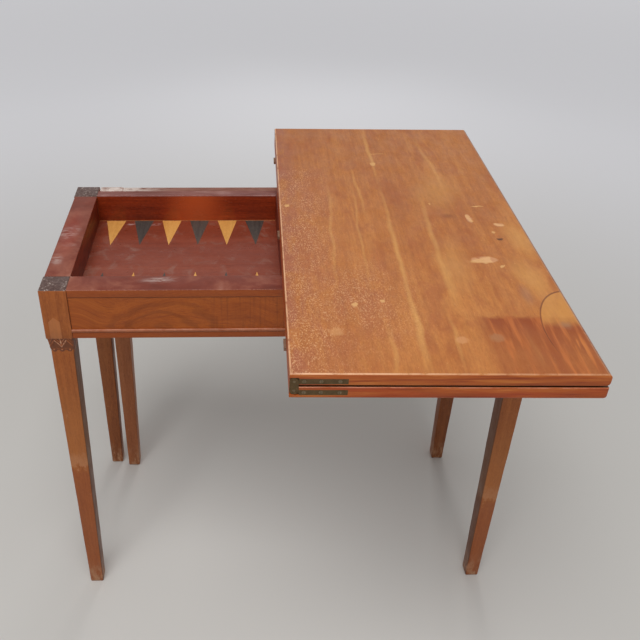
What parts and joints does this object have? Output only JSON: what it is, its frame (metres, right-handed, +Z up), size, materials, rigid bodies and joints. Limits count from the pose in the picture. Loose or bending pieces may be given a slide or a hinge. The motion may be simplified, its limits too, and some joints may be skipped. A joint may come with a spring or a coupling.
{
  "type": "games table",
  "caption": "Folding games table: a turning top of hinged leaves over a well with inlaid points, on square tapered legs with a swinging gate leg.",
  "frame": {"origin": "on the floor, under the middle of the turned top", "axes": "+Z up, +X along the frame's long front rail towards its right end, +Y from the front to the gate"},
  "size_m": [0.8166, 0.8496, 0.76],
  "materials": {
    "leg_wood": "worn polish",
    "rail_wood": "worn polish",
    "rear_wood": "dull, worn",
    "well_wood": "polished, scuffed",
    "light_inlay": "polished",
    "dark_inlay": "polished",
    "leaf_wood": "worn polish",
    "lipping_wood": "worn polish",
    "hinge_brass": "tarnished",
    "iron": "dull"
  },
  "bodies": {
    "frame": {"leg_front_left": "leg_wood", "leg_front_right": "leg_wood", "leg_rear_left": "leg_wood", "leg_rear_right": "leg_wood", "front_rail": "rail_wood", "left_rail": "rail_wood", "right_rail": "rail_wood", "rear_rail": "rear_wood", "rear_fixed_rail": "rear_wood", "front_bead": "rail_wood", "left_bead": "rail_wood", "right_bead": "rail_wood", "well_floor": "well_wood", "points_light": "light_inlay", "points_dark": "dark_inlay", "well_strings": "light_inlay", "well_bar": "well_wood", "pivot_bearer": "rear_wood", "bearer_screws": "iron", "knuckle_pin": "iron"},
    "gate": {"gate_rail": "rear_wood", "gate_leg": "leg_wood"},
    "top": {"lower_leaf": "leaf_wood", "lower_leaf_lipping": "lipping_wood", "alignment_tongues": "lipping_wood", "lower_hinge_straps": "hinge_brass", "lower_hinge_screws": "hinge_brass", "pivot_plate": "iron", "pivot_plate_screws": "iron", "pivot_stud": "iron", "pivot_washer": "iron", "pivot_nut": "iron"},
    "hinge_links": {"hinge_links": "hinge_brass", "hinge_pins": "hinge_brass"},
    "upper_leaf": {"upper_leaf": "leaf_wood", "upper_leaf_lipping": "lipping_wood", "upper_hinge_straps": "hinge_brass", "upper_hinge_screws": "hinge_brass"}
  },
  "joints": [
    {"name": "top_swivel", "type": "hinge", "parent": "frame", "child": "top", "pos_m": [0.10865, 0.11008, 0.719], "axis": [0, 0, 1], "range_deg": [-88.94, 1.06]},
    {"name": "leaf_fold", "type": "hinge", "parent": "top", "child": "hinge_links", "pos_m": [-0.01596, 0.00371, 0.7323], "axis": [-0.0185, -0.9998, 0], "range_deg": [0, 90]},
    {"name": "leaf_fold_upper", "type": "hinge", "parent": "hinge_links", "child": "upper_leaf", "pos_m": [-0.01596, 0.00371, 0.7471], "axis": [-0.0185, -0.9998, 0], "range_deg": [0, 90]},
    {"name": "gate_swing", "type": "hinge", "parent": "frame", "child": "gate", "pos_m": [0, 0.2104, 0.6715], "axis": [0, 0, -1], "range_deg": [0, 90]}
  ],
  "couplings": [
    {"joint": "leaf_fold_upper", "follows": "leaf_fold", "ratio": 1}
  ]
}
